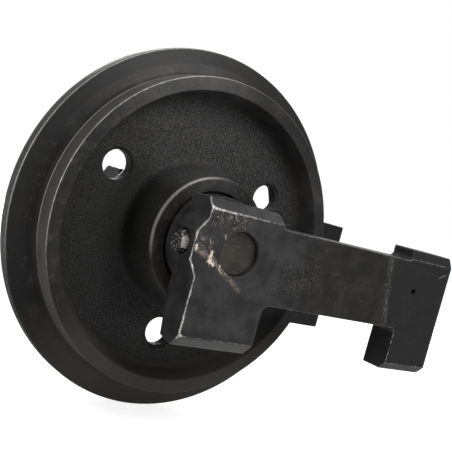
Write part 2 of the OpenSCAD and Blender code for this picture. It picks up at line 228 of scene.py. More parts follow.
def setFloor(look):
    mesh = bpy.data.meshes.new("floor")
    half = look["floorSize"] / 2
    ground = cadBox[0].z - look["floorGap"]
    corners = [(-half, -half, ground), (half, -half, ground), (half, half, ground), (-half, half, ground)]
    mesh.from_pydata(corners, [], [(0, 1, 2, 3)])
    floor = bpy.data.objects.new("floor", mesh)
    scene.collection.objects.link(floor)
    paper = Finish("whitePaper")
    matt = paper.node("ShaderNodeBsdfDiffuse", None, {"Color": look["floorColour"]})
    far = paper.ease((paper.x * paper.x + paper.y * paper.y) ** 0.5, *look["glowRise"])
    level = look["floorGlow"] + far * (1 - look["floorGlow"])
    glow = paper.node("ShaderNodeEmission", None, {"Strength": seenWhite(paper) * level})
    both = paper.node("ShaderNodeAddShader", None, {0: matt, 1: glow})
    paper.node("ShaderNodeOutputMaterial", None, {"Surface": both})
    mesh.materials.append(paper.material)


def setSky(look):
    world = bpy.data.worlds.new("studio")
    world.use_nodes = True
    world.node_tree.nodes.clear()
    sky = Desk(world.node_tree)
    white = seenWhite(sky)
    shade = sky.node("ShaderNodeBackground", None,
                     {"Color": (1, 1, 1, 1), "Strength": white + (1 - white) * look["skyDim"]})
    sky.node("ShaderNodeOutputWorld", None, {"Surface": shade})
    scene.world = world


def setLamps(look):                             # each faces the axle's middle
    for lamp in look["lamps"]:
        data = bpy.data.lights.new(lamp["name"], "AREA")
        data.size = lamp["size"]
        data.energy = lamp["power"]
        lit = bpy.data.objects.new(lamp["name"], data)
        lit.location = lamp["place"]
        lit.rotation_mode = "QUATERNION"
        lit.rotation_quaternion = (-Vector(lamp["place"])).to_track_quat("-Z", "Y")
        scene.collection.objects.link(lit)


setFloor(stage)
setSky(stage)
setLamps(stage)
print("stage set")


# Wheel: one casting, turned from its section and drilled through the web

wheelPlan = dict(
    flangeRadius=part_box("idler_wheel")[1].x, landHalf=7.5 * mm, edgeRound=1.5 * mm,
    rootRadius=167.5 * mm, rootHalf=14 * mm, rootFillet=5 * mm, rootEnd=19 * mm,
    treadRadius=168.5 * mm, treadStart=20 * mm, treadRound=0.5 * mm,
    rimHalf=45 * mm, rimFaceRadius=154 * mm, rimDraft=7 * mm,
    webNear=13.5 * mm, webFar=2.5 * mm, webFillet=14 * mm, hubRootRadius=76 * mm, hubFillet=9 * mm,
    hubRadius=68 * mm, hubHalf=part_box("idler_wheel")[1].y, hubRound=2.5 * mm,
    mouthRadius=53.5 * mm, mouthDepth=5 * mm,
    chamberRadius=45.5 * mm, chamberFlare=1.5 * mm, chamberY=48 * mm,
    seatRadius=34.5 * mm, seatY=42 * mm, bushRadius=27.55 * mm, bushEndY=10 * mm, oilRadius=36 * mm,
    holes=3, firstHole=31.4, holeCircle=110.75 * mm, holeRadius=15.5 * mm, holeBevel=3 * mm,
    drillOver=3 * mm, drillAround=96,
    around=320, arcSteps=6, longest=5 * mm, mergeGap=0.002 * mm,
    relief=0.3 * mm, reliefSize=26 * mm, reliefDetail=3.0, seed=4,
    reliefInner=(66 * mm, 72 * mm), reliefOuter=(140 * mm, 152 * mm), reliefDepth=(50 * mm, 62 * mm),
    look=dict(
        # sizes of stains, grains and marks
        mottleSize=22 * mm, stainSize=55 * mm, gritSize=1.25 * mm, pitSize=2.2 * mm, chipSize=7 * mm,
        rubSize=13 * mm, strokeSize=3 * mm, turningSize=2.2 * mm, landRubSize=8 * mm,
        # directions (x, z) from the axle: the lit side and the painted shade, shadow, light and highlight
        litSide=(-0.819, 0.574), oilSide=(-0.985, -0.17), shadeUpperRightSide=(0.5, 0.866), hubShadowSide=(-0.985, 0.17),
        highlightSide=(-0.423, 0.906), belowLightSide=(0, -1),
        # where zones begin and end
        castRadius=(141 * mm, 149 * mm), castDepth=(54 * mm, 64 * mm), hubShadowRadius=(112 * mm, 82 * mm),
        bandRadius=(178.5 * mm, 181 * mm), rimFaceRadius=(151 * mm, 155 * mm), treadGap=(0.6 * mm, 1.2 * mm),
        # worn edges: names of radius and depth, width, strength
        wornEdges=[
            ("treadRadius", "rimHalf", 0.75 * mm, 0.75),
            ("flangeRadius", "landHalf", 0.9 * mm, 0.6),
            ("hubRadius", "hubHalf", 1.9 * mm, 0.34),
        ],
        # colours
        black=(0.028, 0.0272, 0.0275, 1), grey=(0.048, 0.0465, 0.0465, 1), brown=(0.048, 0.041, 0.034, 1),
        castHollow=(0.009, 0.0088, 0.0089, 1), castGrain=(0.074, 0.072, 0.0705, 1),
        oil=(0.006, 0.0055, 0.005, 1), belowLight=(0.085, 0.078, 0.068, 1), polished=(0.12, 0.115, 0.106, 1),
        rubbed=(0.092, 0.087, 0.08, 1), band=(0.018, 0.0175, 0.0175, 1), highlightLine=(0.40, 0.39, 0.37, 1),
        paintedHighlight=(0.085, 0.083, 0.081, 1), land=(0.012, 0.0117, 0.0115, 1), metal=(0.42, 0.41, 0.39, 1),
        rough=0.46, gloss=0.1, bumpDepth=0.6 * mm,
    ),
)


def roundedLine(points, steps):                 # arcs in the place of the corners of [radius, y, rounding]
    line = []
    count = len(points)
    for i, (px, py, bend) in enumerate(points):
        here = Vector((px, py))
        if bend == 0:
            line.append(here)
            continue
        towards = (Vector(points[i - 1][:2]) - here).normalized()
        onward = (Vector(points[(i + 1) % count][:2]) - here).normalized()
        half = towards.angle(onward) / 2
        centre = here + (towards + onward).normalized() * bend / math.sin(half)
        start = here + towards * bend / math.tan(half) - centre
        end = here + onward * bend / math.tan(half) - centre
        sweep = math.atan2(start.x * end.y - start.y * end.x, start.dot(end))
        first = math.atan2(start.y, start.x)
        for step in range(steps + 1):
            angle = first + sweep * step / steps
            line.append(centre + bend * Vector((math.cos(angle), math.sin(angle))))
    return line


def halved(line, longest):                      # straight stretches in pieces no longer than longest
    fine = []
    for here, after in zip(line, line[1:] + line[:1]):
        pieces = max(1, math.ceil((after - here).length / longest))
        fine += [here.lerp(after, piece / pieces) for piece in range(pieces)]
    return fine


def wheelSide(s, webY):                         # half of the section, with the web's face at webY
    mouthY = s["hubHalf"] - s["mouthDepth"]
    return [
        (s["flangeRadius"], s["landHalf"], s["edgeRound"]),
        (s["rootRadius"], s["rootHalf"], s["rootFillet"]),
        (s["rootRadius"], s["rootEnd"], 0),
        (s["treadRadius"], s["treadStart"], s["treadRound"]),
        (s["treadRadius"], s["rimHalf"], s["edgeRound"]),
        (s["rimFaceRadius"], s["rimHalf"], s["edgeRound"]),
        (s["rimFaceRadius"] - s["rimDraft"], webY, s["webFillet"]),
        (s["hubRootRadius"], webY, s["hubFillet"]),
        (s["hubRadius"], s["hubHalf"], s["hubRound"]),
        (s["mouthRadius"], s["hubHalf"], s["edgeRound"] / 2),
        (s["mouthRadius"], mouthY, 0),
        (s["chamberRadius"] + s["chamberFlare"], mouthY, 0),
        (s["chamberRadius"], s["chamberY"], 0),
        (s["seatRadius"], s["chamberY"], 0),
        (s["seatRadius"], s["seatY"], 0),
        (s["bushRadius"], s["seatY"], 0),
        (s["bushRadius"], s["bushEndY"], 0),
        (s["oilRadius"], s["bushEndY"], 0),
    ]


def wheelSection(s):
    return wheelSide(s, s["webFar"]) + [(r, -y, bend) for r, y, bend in reversed(wheelSide(s, s["webNear"]))]


def drillSection(s):                            # a waisted drill that bevels both ends of its hole
    over = s["drillOver"]
    middle = (s["webFar"] - s["webNear"]) / 2
    half = (s["webFar"] + s["webNear"]) / 2
    wide = s["holeRadius"] + s["holeBevel"] + over
    throat = half - s["holeBevel"]
    line = [(0, -half - over), (wide, -half - over), (s["holeRadius"], -throat),
            (s["holeRadius"], throat), (wide, half + over), (0, half + over)]
    return [(r, y + middle) for r, y in line]


def pointsObject(name, points):
    mesh = bpy.data.meshes.new(name)
    mesh.from_pydata([(p[0], p[1], 0) for p in points], [], [])
    made = bpy.data.objects.new(name, mesh)
    scene.collection.objects.link(made)
    return made


def newTree(name, inputs):                      # a geometry tree with its named inputs
    tree = bpy.data.node_groups.new(name, "GeometryNodeTree")
    tree.interface.new_socket("Geometry", in_out="INPUT", socket_type="NodeSocketGeometry")
    for label, kind in inputs.items():
        tree.interface.new_socket(label, in_out="INPUT", socket_type="NodeSocket" + kind)
    tree.interface.new_socket("Geometry", in_out="OUTPUT", socket_type="NodeSocketGeometry")
    desk = Desk(tree)
    return desk, desk.node("NodeGroupInput")


def latheTree(mergeGap):                        # turns a row of points (radius, y) about the Y axis
    desk, given = newTree("lathe", {"Rows": "Int", "Around": "Int"})
    rows = given.at("Rows")
    around = given.at("Around")
    grid = desk.node("GeometryNodeMeshGrid", None, {"Vertices X": around + 1, "Vertices Y": rows})
    number = desk.node("GeometryNodeInputIndex")
    place = desk.node("GeometryNodeInputPosition")
    section = desk.node("GeometryNodeSampleIndex", {"data_type": "FLOAT_VECTOR"},
                        {"Geometry": given, "Value": place, "Index": number % rows})
    radius = desk.node("ShaderNodeSeparateXYZ", None, {0: section})
    angle = number.reckon("FLOOR", number / rows) * (2 * math.pi) / around
    turned = desk.node("ShaderNodeCombineXYZ", None, {
        "X": radius * angle.reckon("COSINE", angle),
        "Y": radius.at("Y"),
        "Z": radius * angle.reckon("SINE", angle),
    })
    moved = desk.node("GeometryNodeSetPosition", None, {"Geometry": grid, "Position": turned})
    closed = desk.node("GeometryNodeMergeByDistance", None, {"Geometry": moved, "Distance": mergeGap})
    outward = desk.node("GeometryNodeFlipFaces", None, {"Mesh": closed})
    desk.node("NodeGroupOutput", None, {0: outward})
    return desk.tree


def wheelTree(lathe, s):                        # the casting, its uneven skin and its row of holes
    desk, given = newTree("wheelCasting", {
        "Rows": "Int", "Around": "Int",
        "Drill": "Object", "Holes": "Int", "First Hole": "Float", "Hole Circle": "Float",
        "Relief": "Float", "Relief Size": "Float", "Seed": "Float", "Finish": "Material",
    })
    body = desk.node("GeometryNodeGroup", {"node_tree": lathe},
                     {0: given, 1: given.at("Rows"), 2: given.at("Around")})
    place = desk.node("GeometryNodeInputPosition")
    x = desk.node("ShaderNodeSeparateXYZ", None, {0: place})
    radius = (x * x + x.at("Z") * x.at("Z")) ** 0.5
    cast = desk.ease(radius, *s["reliefInner"]) * desk.ease(radius, *s["reliefOuter"], 1, 0)
    cast = cast * desk.ease(abs(x.at("Y")), *s["reliefDepth"], 1, 0)
    lumps = desk.node("ShaderNodeTexNoise", {"noise_dimensions": "4D"}, {
        "Vector": place, "W": given.at("Seed"),
        "Scale": 1 / given.at("Relief Size"), "Detail": s["reliefDetail"],
    })
    rise = (lumps - 0.5) * cast * given.at("Relief")
    skin = desk.node("ShaderNodeVectorMath", {"operation": "SCALE"},
                     {0: desk.node("GeometryNodeInputNormal"), "Scale": rise})
    uneven = desk.node("GeometryNodeSetPosition", None, {"Geometry": body, "Offset": skin})
    ring = desk.node("GeometryNodeMeshCircle", None,
                     {"Vertices": given.at("Holes"), "Radius": given.at("Hole Circle")})
    tilt = desk.node("ShaderNodeCombineXYZ", None, {"X": math.pi / 2, "Y": 0.0 - given.at("First Hole")})
    stood = desk.node("GeometryNodeTransform", None, {"Geometry": ring, "Rotation": tilt})
    drill = desk.node("GeometryNodeObjectInfo", None, {"Object": given.at("Drill")}, out="Geometry")
    drills = desk.node("GeometryNodeInstanceOnPoints", None, {"Points": stood, "Instance": drill})
    tools = desk.node("GeometryNodeRealizeInstances", None, {"Geometry": drills})
    bored = desk.node("GeometryNodeMeshBoolean", {"operation": "DIFFERENCE", "solver": "MANIFOLD"},
                      {"Mesh 1": uneven, "Mesh 2": tools})
    whole = desk.node("GeometryNodeRealizeInstances", None, {"Geometry": bored})
    painted = desk.node("GeometryNodeSetMaterial", None, {"Geometry": whole, "Material": given.at("Finish")})
    desk.node("NodeGroupOutput", None, {0: painted})
    return desk.tree


def finished(name, mesh, sharpAngle=smoothAngle):                # a smooth object in the scene
    mesh.polygons.foreach_set("use_smooth", [True] * len(mesh.polygons))
    mesh.set_sharp_from_angle(angle=math.radians(sharpAngle))
    made = bpy.data.objects.new(name, mesh)
    scene.collection.objects.link(made)
    return made


def grown(name, seedObject, tree, values, sharpAngle=smoothAngle):       # runs a tree, keeps a plain mesh
    modifier = seedObject.modifiers.new("tree", "NODES")
    modifier.node_group = tree
    for item in tree.interface.items_tree:
        if item.item_type == "SOCKET" and item.in_out == "INPUT" and item.name in values:
            modifier[item.identifier] = values[item.name]
    ready = seedObject.evaluated_get(bpy.context.evaluated_depsgraph_get())
    mesh = bpy.data.meshes.new_from_object(ready)
    bpy.data.objects.remove(seedObject)
    mesh.name = name
    coats = [coat for coat in mesh.materials if coat]
    mesh.materials.clear()
    for coat in coats:
        mesh.materials.append(coat)
    mesh.polygons.foreach_set("material_index", [0] * len(mesh.polygons))
    return finished(name, mesh, sharpAngle)


def wheelPaint(s, look):
    paint = Finish("blackCastPaint")
    spot = paint.spot
    r = paint.radius()
    a = abs(paint.y)
    mottle = paint.cloud(spot, look["mottleSize"], 4)
    stain = paint.cloud(paint.stretch(spot, (1, 1.6, 1), shift=(0.3, 0.1, 0.7)), look["stainSize"], 2)
    grit = paint.cloud(spot, look["gritSize"], 3, 0.6)
    pits = paint.node("ShaderNodeTexVoronoi", None, {"Vector": spot, "Scale": 1 / look["pitSize"]})
    chip = paint.cloud(spot, look["chipSize"], 5, 0.7)
    rub = paint.cloud(paint.stretch(spot, shift=(0.9, 0.2, 0.4)), look["rubSize"], 6, 0.72)
    strokes = paint.cloud(paint.stretch(spot, (1, 0.25, 1)), look["strokeSize"], 4, 0.6)
    landRub = paint.cloud(paint.stretch(spot, (1, 5, 1)), look["landRubSize"], 4, 0.7)
    turning = paint.marks(r + a, look["turningSize"], 3.0)

    def facing(side):                           # one where the wheel lies that way from the axle
        return (paint.x * side[0] + paint.z * side[1]) / r

    # zones of the casting and of its turned faces
    # painted light: how far a point faces the lit upper left; the polish, rubbed patches, pale tread line and
    # bare edges show mostly on that side
    worn = facing(look["litSide"])
    litShare = paint.ease(worn, -0.55, 0.75, 0.1, 1)
    cast = paint.ease(r, *look["castRadius"], 1, 0) * paint.ease(a, *look["castDepth"], 1, 0)
    turned = 1 - cast
    tread = paint.ease(abs(r - s["treadRadius"]), *look["treadGap"], 1, 0)
    tread = tread * paint.ease(a, s["treadStart"] - 0.5 * mm, s["treadStart"])
    land = paint.ease(r, s["flangeRadius"] - 0.7 * mm, s["flangeRadius"] - 0.2 * mm)
    rimFace = paint.ease(r, *look["rimFaceRadius"])
    rimFace = rimFace * paint.ease(a, s["rimHalf"] - 2 * mm, s["rimHalf"] - 1 * mm)

    # stains, painted shade and shadow, painted light from below, rubbed paint and painted highlights, one
    # over the other
    # painted shade over the wheel's left side, its edge broken by the stain noise
    filmAndShade = paint.ease(facing(look["oilSide"]) + (stain - 0.5) * 0.5, 0.3, 0.95, 0, 0.55)
    # painted shade towards the upper right of the turned faces
    shadeUpperRight = paint.ease(facing(look["shadeUpperRightSide"]), 0.86, 0.99, 0, 0.6) * turned
    # painted shadow of the hub and bracket on the web, left of the hub
    hubShadow = paint.ease(facing(look["hubShadowSide"]), 0.76, 0.92, 0, 0.5)
    hubShadow = hubShadow * paint.ease(r, *look["hubShadowRadius"])
    # painted light from below: the turned faces are paler towards the bottom
    lightFromBelow = paint.ease(facing(look["belowLightSide"]), 0.5, 0.95, 0, 0.65) * turned
    polish = tread * (0.1 + mottle * 0.5 + strokes * 0.7) * paint.ease(worn, -0.1, 0.6, 0.3, 1)
    patches = paint.ease(rub, 0.5, 0.68) * paint.ease(turning, 0.35, 0.65, 0.3, 1) * turned * litShare
    band = paint.ease(r + (rub - 0.5) * (6 * mm), *look["bandRadius"], 0, 0.75)
    band = band * paint.ease(paint.z / r, -0.8, -0.25, 0.1, 1)
    # painted highlight: a pale line along the tread's inner edge, strongest on the lit upper left
    innerHighlight = paint.ease(a + (chip - 0.5) * (1.6 * mm), s["treadStart"] + 3.4 * mm, s["treadStart"] + 2 * mm)
    innerHighlight = innerHighlight * tread * paint.ease(worn, 0.55, 0.83, 0.12, 0.9)
    # painted highlight on the rim face towards the upper left
    paintedHighlight = paint.ease(facing(look["highlightSide"]), 0.9, 0.99, 0, 0.35) * rimFace
    coat = paint.layered(paint.blend(paint.ease(mottle, 0.35, 0.7), look["black"], look["grey"]), [
        (paint.ease(stain, 0.48, 0.7) * 0.75, look["brown"]),
        (cast * 0.85, look["castHollow"]),
        (paint.ease(grit, 0.40, 0.67) * cast, look["castGrain"]),
        (filmAndShade, look["oil"]),
        (shadeUpperRight, look["oil"]),
        (hubShadow, look["oil"]),
        (lightFromBelow, look["belowLight"]),
        (polish, look["polished"]),
        (patches * 0.6, look["rubbed"]),
        (band, look["band"]),
        (innerHighlight, look["highlightLine"]),
        (paintedHighlight, look["paintedHighlight"]),
        (land * 0.8, look["land"]),
    ])

    # bare metal on the edges and the flange's land, mostly on the lit upper left, where the bare edges stand
    # in part for painted highlights
    wear = land * paint.ease(landRub, 0.46, 0.74) * litShare * 0.22
    for edgeRadius, edgeDepth, width, strength in look["wornEdges"]:
        gap = ((r - s[edgeRadius]) ** 2 + (a - s[edgeDepth]) ** 2) ** 0.5
        near = paint.ease(gap + (chip - 0.5) * (1.5 * mm), width * 0.5, width * 1.7, strength, 0)
        wear = wear.most(near * paint.ease(worn, 0.45, 0.8, 0.04, 1))

    dull = paint.ease(worn, 0.25, 0.75, 0.3, 0) * turned
    height = (grit * 0.8 + pits * 0.5) * cast + mottle * 0.1
    return paint.close(
        Base_Color=paint.blend(wear, coat, look["metal"]),
        Metallic=wear * 0.8,
        Roughness=look["rough"] + cast * 0.14 + dull - wear * 0.14 + (mottle - 0.5) * 0.18,
        Specular_IOR_Level=look["gloss"],
        Normal=paint.bump(height, look["bumpDepth"]),
    )


def makeWheel(s):
    lathe = latheTree(s["mergeGap"])
    drillPoints = drillSection(s)
    drill = grown("drill", pointsObject("drillPoints", drillPoints), lathe,
                  {"Rows": len(drillPoints), "Around": s["drillAround"]})
    section = halved(roundedLine(wheelSection(s), s["arcSteps"]), s["longest"])
    section.append(section[0])
    wheel = grown("wheelCasting", pointsObject("wheelPoints", section), wheelTree(lathe, s), {
        "Rows": len(section), "Around": s["around"], "Drill": drill, "Holes": s["holes"],
        "First Hole": math.radians(s["firstHole"]), "Hole Circle": s["holeCircle"],
        "Relief": s["relief"], "Relief Size": s["reliefSize"], "Seed": float(s["seed"]),
        "Finish": wheelPaint(s, s["look"]),
    })
    bpy.data.objects.remove(drill)
    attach(wheel, "wheel")
    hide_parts("idler_wheel")
    print("wheel casting made,", len(wheel.data.polygons), "faces")


makeWheel(wheelPlan)


# Brackets: the solids' own forms with worn edges

bracketPlan = dict(
    mergeGap=0.001 * mm, flatAngle=0.5, edgeAngle=28, edgeRound=0.7 * mm, roundSteps=2,
    slice=3 * mm, cutGap=0.01 * mm, sample=1.2 * mm,
    innerSide=75 * mm, bossFront=-50 * mm, bossHalf=16 * mm,             # edges inside these stay sharp
    look=dict(
        # sizes of stains, specks and scratches
        mottleSize=20 * mm, patchSize=60 * mm, speckSize=3.2 * mm, fineSize=1.3 * mm, chipSize=5 * mm,
        knockSize=9 * mm, scratchSize=1.5 * mm, strokeSize=2.3 * mm,
        # the slanted line at which the arm's rubbed paint ends
        rubLineX=205 * mm, rubLineZ=30 * mm, rubLineSlope=0.219, rubLineHalf=1.5 * mm,
        # where zones begin and end
        armX=(35 * mm, 125 * mm), soleZ=(-80 * mm, -84 * mm), soleFront=(-46 * mm, -39 * mm),
        soleBack=(60 * mm, 50 * mm), streakX=(-28 * mm, 14 * mm), frontX=(-30 * mm, -43 * mm),
        cornerX=(-38 * mm, -43 * mm), cornerZ=(33 * mm, 36 * mm), topZ=(30 * mm, 36 * mm),
        topFade=(-20 * mm, 45 * mm), topEnd=(45 * mm, 52 * mm), footZ=(-80 * mm, -86 * mm),
        blockX=(170 * mm, 200 * mm), boreRadius=(25 * mm, 29 * mm),
        screwX=251 * mm, screwRadius=(5 * mm, 8 * mm),
        # rectangles (x, z, x, z, softness) in millimetres
        armKnocks=(62, -26, 104, 2, 16), legKnocks=(-2, -74, 14, -56, 6),
        topFlecks=(-42, 23, 1, 37, 6), frontFlecks=(-52, -5, -32, 11, 4),
        # lines (x, z, x, z, thinning) in millimetres
        streaks=[(-53, -2, -30, -10, 0), (-30, -10, 10, -35, 0)],
        blobs=[(-32, -4, -33.5, -12, 0), (-33.5, -12, -29, -14, 0),
               (-51.5, 1, -51, -4, 0.9), (-21, -15, -16, -21.5, 1.4)],
        dabs=[(-22.5, 15.5, -20.5, 12, 0)],
        nicks=[(287, 22, 297, 27, 0)],
        # colours
        black=(0.024, 0.0231, 0.0243, 1), grey=(0.049, 0.0471, 0.0494, 1),
        rubbedDark=(0.0092, 0.0088, 0.008, 1), rubbedPale=(0.0225, 0.0217, 0.0197, 1),
        block=(0.012, 0.0114, 0.0122, 1), sole=(0.085, 0.083, 0.08, 1),
        scuff=(0.15, 0.145, 0.13, 1), scratch=(0.12, 0.118, 0.11, 1),
        greaseDark=(0.165, 0.128, 0.100, 1), greasePale=(0.44, 0.39, 0.33, 1),
        greaseThick=(0.78, 0.71, 0.57, 1), metal=(0.47, 0.46, 0.435, 1),
        rough=0.47, gloss=0.11, bumpDepth=0.2 * mm,
    ),
)


class BracketFinish(Finish):                    # the noises and zones that a bracket's paint is made from
    def __init__(self, name, outerY, look):
        super().__init__(name)
        spot = self.spot
        self.deep = abs(self.y)
        self.face = abs(outerY)
        self.near = self.ease(self.y, 1 * mm, -1 * mm)           # grease and nick are on one bracket only
        self.outer = self.within(2 * mm, 0.5 * mm)
        self.gap = self.node("ShaderNodeAttribute", {"attribute_name": "edgeGap"}, out="Fac")
        self.mottle = self.cloud(spot, look["mottleSize"], 5, 0.6)
        self.patch = self.cloud(self.stretch(spot, shift=(0.2, 0, 0.5)), look["patchSize"], 3)
        self.speck = self.cloud(spot, look["speckSize"], 4, 0.65)
        self.fine = self.cloud(spot, look["fineSize"], 3, 0.6)
        self.chip = self.cloud(spot, look["chipSize"], 5, 0.75)
        self.knock = self.cloud(self.stretch(spot, shift=(0.4, 0.3, 0.1)), look["knockSize"], 3, 0.6)
        drawn = self.stretch(spot, (0.07, 1, 1), turn=(0, 0.4, 0))
        self.scratch = self.cloud(drawn, look["scratchSize"], 4)
        brushed = self.stretch(spot, (1, 1, 0.45), turn=(0, -0.3, 0))
        self.strokes = self.cloud(brushed, look["strokeSize"], 3, 0.6)
        slant = look["rubLineX"] + (look["rubLineZ"] - self.z) * look["rubLineSlope"]
        self.past = self.x - (slant + (self.speck - 0.5) * (3 * mm) + (self.chip - 0.5) * (5 * mm))

    def within(self, low, high, start=0.0, end=1.0):             # depths below the outer face
        return self.ease(self.deep, self.face - low, self.face - high, start, end)

    def between(self, value, low, high, soft):
        return self.ease(value, low - soft, low + soft) * self.ease(value, high - soft, high + soft, 1, 0)

    def boxed(self, box):                       # one inside a rectangle of the bracket's plane
        lowX, lowZ, highX, highZ, soft = (value * mm for value in box)
        return self.between(self.x, lowX, highX, soft) * self.between(self.z, lowZ, highZ, soft)

    def lineGap(self, line):                    # distance in the bracket's plane from a line
        ax, az, bx, bz, thinning = (value * mm for value in line)
        dx = bx - ax
        dz = bz - az
        along = ((self.x - ax) * dx + (self.z - az) * dz) / (dx * dx + dz * dz)
        along = along.most(0.0).least(1.0)
        return ((self.x - ax - along * dx) ** 2 + (self.z - az - along * dz) ** 2) ** 0.5 + thinning

    def nearest(self, lines):
        gap = self.lineGap(lines[0])
        for line in lines[1:]:
            gap = gap.least(self.lineGap(line))
        return gap


def bracketCoat(paint, look):                   # rubbed paint on the arm, dark paint on the end block, painted light from below on the foot's lower chamfer
    edge = look["rubLineHalf"]
    outer = paint.outer
    arm = paint.ease(paint.past, -edge, edge, 1, 0) * paint.ease(paint.x, *look["armX"], 0.2, 1) * outer
    black = paint.blend(paint.ease(paint.mottle, 0.35, 0.68), look["black"], look["grey"])
    rubbed = paint.blend(paint.ease(paint.mottle, 0.3, 0.7), look["rubbedDark"], look["rubbedPale"])
    # painted light from below on the foot's lower chamfer
    sole = paint.ease(paint.z, *look["soleZ"]) * paint.ease(paint.x, *look["soleBack"]) * (1 - outer)
    sole = sole * paint.within(14 * mm, 12 * mm, 0, 0.7) * paint.ease(paint.x, *look["soleFront"])
    scuff = paint.ease(paint.speck, 0.54, 0.78) * paint.ease(paint.mottle, 0.48, 0.64)
    scuff = scuff * outer * (0.3 + arm * 0.2)
    armKnocks = paint.boxed(look["armKnocks"]) * paint.ease(paint.speck, 0.5, 0.7) * outer
    legKnocks = paint.boxed(look["legKnocks"]) * paint.ease(paint.speck, 0.54, 0.72) * outer
    scratched = paint.ease(paint.scratch, 0.62, 0.74) * outer * (0.15 + arm * 0.2)
    return paint.layered(black, [
        (arm * paint.ease(paint.patch, 0.3, 0.6, 0.55, 1), rubbed),
        (paint.ease(paint.past, -edge, edge) * 0.85, look["block"]),
        (sole, look["sole"]),
        (scuff.most(armKnocks * 0.6).most(legKnocks * 0.45), look["scuff"]),
        (scratched, look["scratch"]),
    ])


def bracketGrease(paint, look):                 # dried grease round the shaft's end: its share and its colour
    fine = paint.fine
    streak = paint.nearest(look["streaks"]) + (paint.chip - 0.5) * (11 * mm)
    streak = paint.ease(streak, 0.2 * mm, 4.4 * mm, 1, 0) * paint.ease(fine, 0.38, 0.56)
    streak = streak * paint.ease(paint.speck, 0.32, 0.52) * paint.ease(paint.x, *look["streakX"], 1, 0.4)
    blob = paint.nearest(look["blobs"]) + (paint.speck - 0.5) * (6 * mm) + (paint.strokes - 0.5) * (8 * mm)
    blob = paint.ease(blob, 1.1 * mm, 2.9 * mm, 1, 0)
    stroke = paint.ease(paint.strokes, 0.5, 0.61)
    top = paint.boxed(look["topFlecks"]) * stroke * 0.9 * paint.ease(paint.knock, 0.4, 0.56, 0.2, 1)
    front = paint.boxed(look["frontFlecks"]) * stroke * 0.85
    dab = paint.ease(paint.nearest(look["dabs"]) + (fine - 0.5) * (2 * mm), 0.4 * mm, 1.5 * mm, 0.9, 0)
    share = streak.most(blob).most(dab)
    share = share.most(top * paint.ease(fine, 0.38, 0.56)).most(front * paint.ease(fine, 0.4, 0.56))
    tan = paint.blend(paint.ease(paint.chip, 0.4, 0.62), look["greaseDark"], look["greasePale"])
    return share * paint.outer * paint.near, paint.blend(blob, tan, look["greaseThick"])


def bracketWear(paint, look):                   # bare metal where edges were knocked, none round the bores
    x = paint.x
    z = paint.z
    front = paint.ease(x, *look["frontX"]) * paint.within(6 * mm, 2 * mm)
    corner = paint.ease(x, *look["cornerX"]) * paint.ease(z, *look["cornerZ"])
    corner = corner * paint.within(34 * mm, 10 * mm, 0.35, 1)
    top = paint.ease(z, *look["topZ"]) * paint.ease(x, *look["topFade"], 1, 0.25)
    top = top * paint.ease(x, *look["topEnd"], 1, 0) * paint.within(4 * mm, 1 * mm)
    foot = paint.ease(z, *look["footZ"]) * paint.within(14 * mm, 8 * mm) * 0.35
    block = paint.outer * paint.ease(x, *look["blockX"], 0.3, 0.42)
    screwGap = (x - look["screwX"]) ** 2 + z * z
    clear = paint.ease(paint.radius(), *look["boreRadius"])
    clear = clear * paint.ease(screwGap, *(radius ** 2 for radius in look["screwRadius"]))
    amount = front.most(top).most(foot).most(corner * 0.8).most(block) * clear
    width = 0.1 * mm + amount * paint.ease(paint.knock, 0.34, 0.66, 0.35 * mm, 1.4 * mm)
    bare = paint.ease(paint.gap + (paint.chip - 0.5) * (4.2 * mm) - width, 0.8 * mm, -0.4 * mm) * amount
    bare = bare * paint.ease(paint.speck * 0.6 + paint.fine * 0.4, 0.4, 0.58, 0.22, 1)
    flecks = paint.ease(abs(paint.past + 2.5 * mm), 0.5 * mm, 6.5 * mm, 1, 0)
    flecks = flecks * paint.ease(paint.fine, 0.36, 0.64)
    flecks = flecks * paint.ease(paint.speck, 0.42, 0.6, 0.15, 1) * paint.ease(paint.knock, 0.36, 0.6, 0.3, 1)
    nick = paint.nearest(look["nicks"]) + (paint.fine - 0.5) * (1.6 * mm)
    nick = paint.ease(nick, 0.1 * mm, 0.8 * mm, 0.55, 0) * paint.near
    return bare.most(flecks * paint.outer * 0.38).most(nick * paint.outer)


def bracketPaint(name, outerY, look):
    paint = BracketFinish(name, outerY, look)
    grease, greaseColour = bracketGrease(paint, look)
    wear = bracketWear(paint, look)
    metal = paint.blend(wear, bracketCoat(paint, look), look["metal"])
    height = paint.speck * 0.6 + paint.mottle * 0.6 + wear * 0.3 + grease * 1.6
    return paint.close(
        Base_Color=paint.blend(grease, metal, greaseColour),
        Metallic=wear * (1 - grease) * 0.8,
        Roughness=look["rough"] - wear * 0.13 + grease * 0.12 + (paint.mottle - 0.5) * 0.2,
        Specular_IOR_Level=look["gloss"],
        Normal=paint.bump(height, look["bumpDepth"]),
    )


def bareCopy(node, s):                          # a merged copy of a node's mesh with its flat faces whole
    bm = bmesh.new()
    bm.from_mesh(frame["nodes"][node].data)
    bmesh.ops.remove_doubles(bm, verts=bm.verts, dist=s["mergeGap"])
    bmesh.ops.dissolve_limit(bm, angle_limit=math.radians(s["flatAngle"]), verts=bm.verts, edges=bm.edges)
    return bm


def sharpEdges(bm, angle):
    limit = math.radians(angle)
    return [e for e in bm.edges if e.is_manifold and e.calc_face_angle_signed(0) > limit]


def edgeTree(edges, step):                      # points along edges, to measure distances from
    points = []
    for edge in edges:
        first, last = (v.co for v in edge.verts)
        pieces = max(1, math.ceil((last - first).length / step))
        points += [first.lerp(last, piece / pieces) for piece in range(pieces + 1)]
    tree = kdtree.KDTree(len(points))
    for number, point in enumerate(points):
        tree.insert(point, number)
    tree.balance()
    return tree


